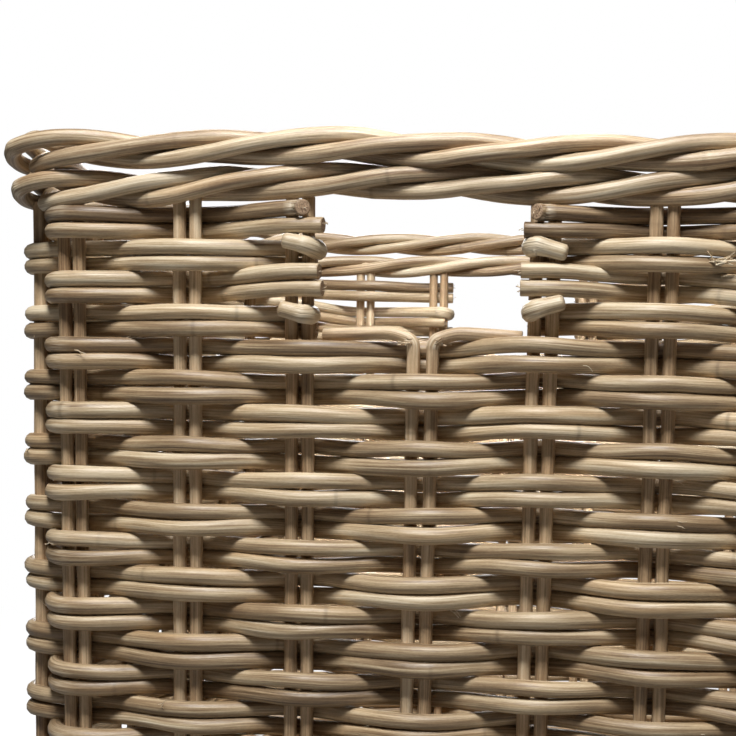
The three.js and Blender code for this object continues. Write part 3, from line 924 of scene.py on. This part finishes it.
def middle_stake(name, side):
    rng = seeded(name)
    strokes = []
    for wall, way in ((FRONT, side), (BACK, -side)):
        middle = pair_along(wall, MIDDLE_PAIR, LEDGE_HEIGHT)
        stroke = []
        for aside, share, out, up in FOLD:
            stroke.append(wall_points(wall, way * aside + middle * share, out, LEDGE_HEIGHT + up))
        stroke.append(wall_points(wall, way * FOLD_FOOT, 0, BASE_LEVEL))
        strokes.append(stroke)
    line = rounded(strokes[0] + strokes[1][::-1], FOLD_RADIUS)
    canes = [sweep(line, STAKE_RADIUS * EVEN_SIZE, rng, MIDDLE_WANDER)]
    aside, out, up = SPLIT_PLACE
    for wall, facing in ((FRONT, -1), (BACK, 1)):
        middle = wall_points(wall, pair_along(wall, MIDDLE_PAIR, LEDGE_HEIGHT), out, LEDGE_HEIGHT + up)
        split = middle + np.array([side * aside, 0, -SPLIT_DROP])
        heading = SPLIT_HEADING * np.array([side, facing, 1])
        canes += fibres(rng, split, heading, *SPLIT_FIBRES)
    build(name, canes, STAKE)


# Base

BASE_END = 4.5  # a base cane ends this far past its last stake
TURN_SHARES = 0.04, 0.96  # the part of a half turn that lies between two passes


def base_cane(bay):
    name = f"base_cane_{bay + 1}"
    start = pair_along(RIGHT, bay, BASE_LEVEL)
    width = pair_along(RIGHT, bay + 1, BASE_LEVEL) - start
    step = width / (BASE_PASSES + 1)
    last = pair_along(FRONT, PAIRS - 1, BASE_LEVEL)
    line = []
    for run in range(BASE_PASSES):
        y = start + step * (run + 1)
        direction = 1 if run % 2 == 0 else -1
        order = range(PAIRS)[::direction]
        x = [pair_along(FRONT, i, BASE_LEVEL) for i in order]
        z = [BASE_LEVEL + (WEAVE_PEAK if (i + run) % 2 == 0 else -WEAVE_PEAK) for i in order]
        if run == 0:
            line.append([x[0] - BASE_END, y, z[0]])
        at, height = weave(x, z)
        line += [[a, y, h] for a, h in zip(at, height)]
        if run < BASE_PASSES - 1:
            rise = 1 if z[-1] > BASE_LEVEL else -1
            for t in np.linspace(*TURN_SHARES, 13):
                turn = math.pi / 2 - math.pi * t
                reach = direction * (last + PAIR_OFFSET + WEAVE_PEAK * math.cos(turn))
                line.append([reach, y + step * t, BASE_LEVEL + rise * WEAVE_PEAK * math.sin(turn)])
        else:
            line.append([x[-1] + direction * BASE_END, y, z[-1]])
    cane = sweep(np.array(line), STAKE_RADIUS * EVEN_SIZE, seeded(name), STAKE_WANDER)
    build(name, [cane], STAKE)


# Border


def roll_station(station, overhang, height):
    """Middle line of a roll and the direction that faces out of the basket there."""
    number = int(math.floor(station))
    share = station - number
    wall, pair = find_pair(number)
    along = even_along(wall, pair, STAKE_TOP)
    w = WALLS[wall]
    if pair == PAIRS - 1:
        angle = share * math.pi / 2
        outward = w["outward"] * math.cos(angle) + w["along"] * math.sin(angle)
        centre = wall_points(wall, along, -CORNER_INSET, STAKE_TOP)
        middle = centre + outward * (CORNER_INSET + overhang)
    else:
        step = even_along(wall, pair + 1, STAKE_TOP) - along
        middle = wall_points(wall, along + share * step, overhang, STAKE_TOP)
        outward = w["outward"]
    middle[2] = height
    return middle, outward


ROLL_OPENS = 0.7  # the strands of a roll stand this much further apart on the corners
ROLL_BULGE = 2.5  # and the roll stands out this much further there
TUCK = 0.16  # the ends of a strand pass each other by this share of a pair's spacing, inside the roll

# How far each roll rises, and how much earlier its strands climb, at these stations. 0 to 6 are the pairs
# of the front wall, and -14 to -8 those of the back wall, where the rolls part and leave eyes between them
ROLL_STATIONS = [-14, -8, -2, -1, 0, 0.8, 1.4, 2.4, 3.3, 4, 5, 6, 7, 9, 12.5, 14]
ROLL_LIFT = {
    "lower": [-1.3, -1.3, 0, -0.6, -1.3, -1.1, 0.7, 1.1, 0.9, -0.9, -1.5, -1.4, -0.5, 0, -1.3, -1.3],
    "upper": [-0.8, -0.8, 0, 0.2, 0.2, -0.3, 0.3, 0.6, -1.3, -2.5, -2.6, -3.1, -1.5, 0, -0.8, -0.8],
}
ROLL_EARLY = {
    "lower": [0, 0, 0, 0.1, 0.17, 0.36, 0.3, 0.18, 0.12, 0.02, 0.12, 0.05, 0, 0, 0, 0],
    "upper": [0.52, 0.52, 0, 0.15, 0.21, 0.28, 0.18, 0.07, 0.08, 0.06, 0.04, 0, 0, 0, 0.52, 0.52],
}

# The strands are thinner and lie closer in the back wall
BACK_SIZE = 0.95
ROLL_SIZE = {roll: [BACK_SIZE, BACK_SIZE] + [1] * 12 + [BACK_SIZE, BACK_SIZE] for roll in ROLLS}

TUCKED_CIRCLE = 0.25  # a strand's end lies this near the middle of its roll, as a share
WAVE_HEIGHT, WAVE_STEP, WAVE_START = 0.35, 1.9, 0.6  # both rolls rise and sink a little all the way round
POINTS_PER_PAIR, SIZE_POINTS = 26, 60
STRAND_SIZES, STRAND_WANDER = (0.96, 1.0), 0.25


def roll_value(table, roll, station):
    from_front = (station + PAIR_TOTAL / 2) % PAIR_TOTAL - PAIR_TOTAL / 2
    return float(smooth_table(from_front, ROLL_STATIONS, table[roll]))


def strand_angle(station, strand):
    """A strand is lowest in its roll at the middle pair of the front wall, and its neighbours follow."""
    turns = (station - MIDDLE_PAIR) * ROLL_TURNS / PAIR_TOTAL + strand / STRANDS - 0.25
    return turns * 2 * math.pi


def border_strand(roll, strand):
    """A strand that goes right round, from a place in the back wall where it lies inside its roll."""
    name = f"{roll}_border_strand_{strand + 1}"
    rng = seeded(name)
    overhang, height = ROLLS[roll]
    start = BACK * PAIRS - 0.5
    half_step = math.pi * ROLL_TURNS / PAIR_TOTAL / 2
    while math.cos(strand_angle(start + roll_value(ROLL_EARLY, roll, start), strand)) > -math.cos(half_step):
        start += 0.5
    first, last = start - TUCK, start + PAIR_TOTAL + TUCK
    line = []
    for station in np.linspace(first, last, PAIR_TOTAL * POINTS_PER_PAIR + 1):
        from_end = min(station - start + TUCK, last - station)
        tucked = 1 - (1 - TUCKED_CIRCLE) * float(smooth_table(from_end, [0, 2 * TUCK], [1, 0]))
        early = roll_value(ROLL_EARLY, roll, station)
        lift = roll_value(ROLL_LIFT, roll, station) + WAVE_HEIGHT * math.sin(station * WAVE_STEP + WAVE_START)
        from_corner = abs((station + 0.5) % PAIRS - PAIRS / 2)
        near_corner = max(0.0, from_corner - PAIRS / 2 + 1) ** 2
        middle, outward = roll_station(station, overhang + ROLL_BULGE * near_corner, height)
        angle = strand_angle(station + early, strand)
        opened = 1 + ROLL_OPENS * near_corner
        circle = STRAND_CIRCLE * roll_value(ROLL_SIZE, roll, station) * opened * tucked
        rise = np.array([0, 0, circle * math.sin(angle) + lift])
        line.append(middle + outward * circle * math.cos(angle) + rise)
    shares = np.linspace(0, 1, SIZE_POINTS)
    sizes = [roll_value(ROLL_SIZE, roll, start + share * PAIR_TOTAL) for share in shares]
    radius = STRAND_RADIUS * rng.uniform(*STRAND_SIZES)
    cane = sweep(np.array(line), radius, rng, STRAND_WANDER, swell=lambda length: (shares * length, sizes))
    build(name, [cane], BORDER)


add_rows()
for pair in range(PAIRS):
    if pair != MIDDLE_PAIR:
        front_to_back_stake(pair)
middle_stake("middle_stake_left", -1)
middle_stake("middle_stake_right", 1)
for pair in range(PAIRS):
    left_to_right_stake(pair)
for bay in range(PAIRS - 1):
    base_cane(bay)
for strand in range(STRANDS):
    border_strand("lower", strand)
    border_strand("upper", strand)

# Studio

FLOOR_RADIUS, FLOOR_STEPS = 3.0, 96
FLOOR_COLOR, FLOOR_ROUGHNESS = (0.82, 0.82, 0.82, 1.0), 0.7
FLOOR_BOUNCE = (0.2, 0.2, 0.2, 1.0)  # what all but the camera sees of it
FADE_START, FADE_END = 0.3, 0.9  # between these distances the floor fades to white
WHITE = (1, 1, 1, 1)
WORLD_COLOR, WORLD_STRENGTH = (1.0, 0.98, 0.95, 1.0), 0.02


def add_floor():
    material = bpy.data.materials.new("studio_floor")
    n = clean_nodes(material)
    position = n.add("ShaderNodeNewGeometry").outputs["Position"]
    distance = n.add("ShaderNodeVectorMath", {0: position}, operation="LENGTH").outputs["Value"]
    far = n.between(distance, FADE_START, FADE_END, interpolation_type="SMOOTHSTEP")
    camera = n.add("ShaderNodeLightPath").outputs["Is Camera Ray"]
    color = n.mix(camera, FLOOR_BOUNCE, FLOOR_COLOR)
    shader = n.add("ShaderNodeBsdfPrincipled", {"Base Color": color, "Roughness": FLOOR_ROUGHNESS})
    white = n.add("ShaderNodeEmission", {"Color": WHITE, "Strength": 1.0})
    share = n.math("MULTIPLY", far, camera)
    mixed = n.add("ShaderNodeMixShader", {0: share, 1: shader.outputs[0], 2: white.outputs[0]})
    n.add("ShaderNodeOutputMaterial", {0: mixed.outputs[0]})
    around = []
    for i in range(FLOOR_STEPS):
        angle = 2 * math.pi * i / FLOOR_STEPS
        around.append((math.cos(angle) * FLOOR_RADIUS, math.sin(angle) * FLOOR_RADIUS, 0.0))
    mesh = bpy.data.meshes.new("studio_floor")
    mesh.from_pydata(around, [], [list(range(FLOOR_STEPS))])
    mesh.materials.append(material)
    floor = bpy.data.objects.new("studio_floor", mesh)
    bpy.context.scene.collection.objects.link(floor)


# Lamps, in metres and watts: where they stand, what they face, size, power and spread
LAMPS = {
    "key": ((-0.04, -0.85, 1.37), (0.01, -0.05, 0.2), (0.5, 0.35), 25.2, math.pi),
    "overhead": ((0.05, -0.05, 1.6), (0.0, 0.0, 0.2), (0.7, 0.7), 7.0, math.pi),
    "back": ((0.08, -0.5, 0.6), (-0.02, 0.16, 0.183), (0.16, 0.05), 0.115, math.radians(17)),
    "fill": ((-0.4, 1.3, 0.8), (0.0, 0.1, 0.15), (0.8, 0.6), 14, math.pi),
}


def add_lamp(name, place, target, size, power, spread):
    lamp = bpy.data.lights.new(name, "AREA")
    lamp.shape = "RECTANGLE"
    lamp.size, lamp.size_y = size
    lamp.energy = power
    lamp.spread = spread
    obj = bpy.data.objects.new(name, lamp)
    obj.location = place
    obj.rotation_euler = (Vector(target) - Vector(place)).to_track_quat("-Z", "Y").to_euler()
    bpy.context.scene.collection.objects.link(obj)


def add_world():
    world = bpy.data.worlds.new("studio")
    bpy.context.scene.world = world
    n = clean_nodes(world)
    camera = n.add("ShaderNodeLightPath").outputs["Is Camera Ray"]
    soft = n.add("ShaderNodeBackground", {"Color": WORLD_COLOR, "Strength": WORLD_STRENGTH})
    white = n.add("ShaderNodeBackground", {"Color": WHITE, "Strength": 1.0})
    mixed = n.add("ShaderNodeMixShader", {0: camera, 1: soft.outputs[0], 2: white.outputs[0]})
    n.add("ShaderNodeOutputWorld", {0: mixed.outputs[0]})


# The camera, fitted to the photo: in metres, degrees and, for the lens, millimetres
CAMERA_PLACE = Vector((0.08903, -0.6842, 0.22243))
CAMERA_YAW, CAMERA_PITCH, CAMERA_ROLL = (math.radians(v) for v in (-8.312, 1.023, 1.068))
SENSOR_WIDTH, FOCAL_LENGTH = 36, 72.0
SHIFT_X, CLIP_START = -0.115, 0.02


def add_camera():
    yaw, pitch, roll = CAMERA_YAW, CAMERA_PITCH, CAMERA_ROLL
    ahead = Vector((math.sin(yaw) * math.cos(pitch), math.cos(yaw) * math.cos(pitch), math.sin(pitch)))
    aside = Vector((math.cos(yaw), -math.sin(yaw), 0))
    upward = aside.cross(ahead)
    right = aside * math.cos(roll) + upward * math.sin(roll)
    upward = upward * math.cos(roll) - aside * math.sin(roll)
    camera = bpy.data.cameras.new("camera")
    camera.sensor_width = SENSOR_WIDTH
    camera.lens = FOCAL_LENGTH
    camera.shift_x = SHIFT_X
    camera.clip_start = CLIP_START
    obj = bpy.data.objects.new("camera", camera)
    matrix = Matrix((right, upward, -ahead)).transposed().to_4x4()
    matrix.translation = CAMERA_PLACE
    obj.matrix_world = matrix
    bpy.context.scene.collection.objects.link(obj)
    bpy.context.scene.camera = obj


add_floor()
for name, settings in LAMPS.items():
    add_lamp(name, *settings)
add_world()
add_camera()
bpy.context.scene.view_settings.view_transform = "Standard"
